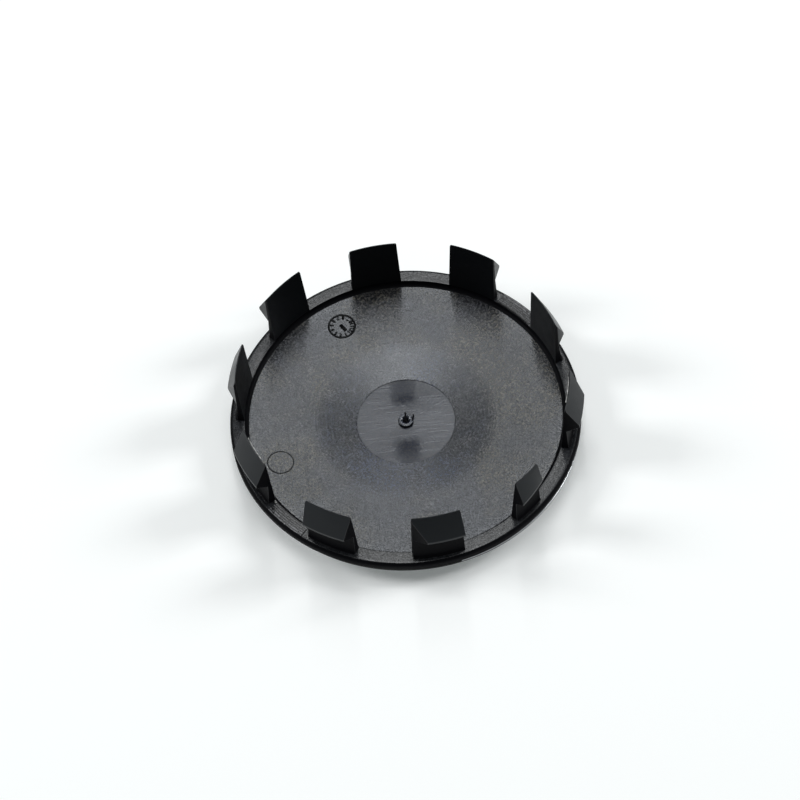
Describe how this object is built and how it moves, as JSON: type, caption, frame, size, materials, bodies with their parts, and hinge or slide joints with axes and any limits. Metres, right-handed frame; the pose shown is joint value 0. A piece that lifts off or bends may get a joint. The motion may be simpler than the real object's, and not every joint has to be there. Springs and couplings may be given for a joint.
{
  "type": "wheel centre cap",
  "caption": "Round snap-in wheel centre cap lying face down: black moulded disc with a raised flange and a ring of barbed snap tabs, bonded to a shallow domed aluminium face.",
  "frame": {"origin": "lowest point of the domed face, on the cap's axis", "axes": "+Z along the cap's axis from the face towards the snap tabs, narrow key tab on the -Y side"},
  "size_m": [0.056, 0.0564, 0.0151],
  "materials": {
    "black_nylon": "semi-gloss moulded glass-filled nylon",
    "face_aluminium": "satin anodised sheet"
  },
  "bodies": {
    "root": {"clip_body": "black_nylon", "face_disc": "face_aluminium"}
  },
  "joints": []
}
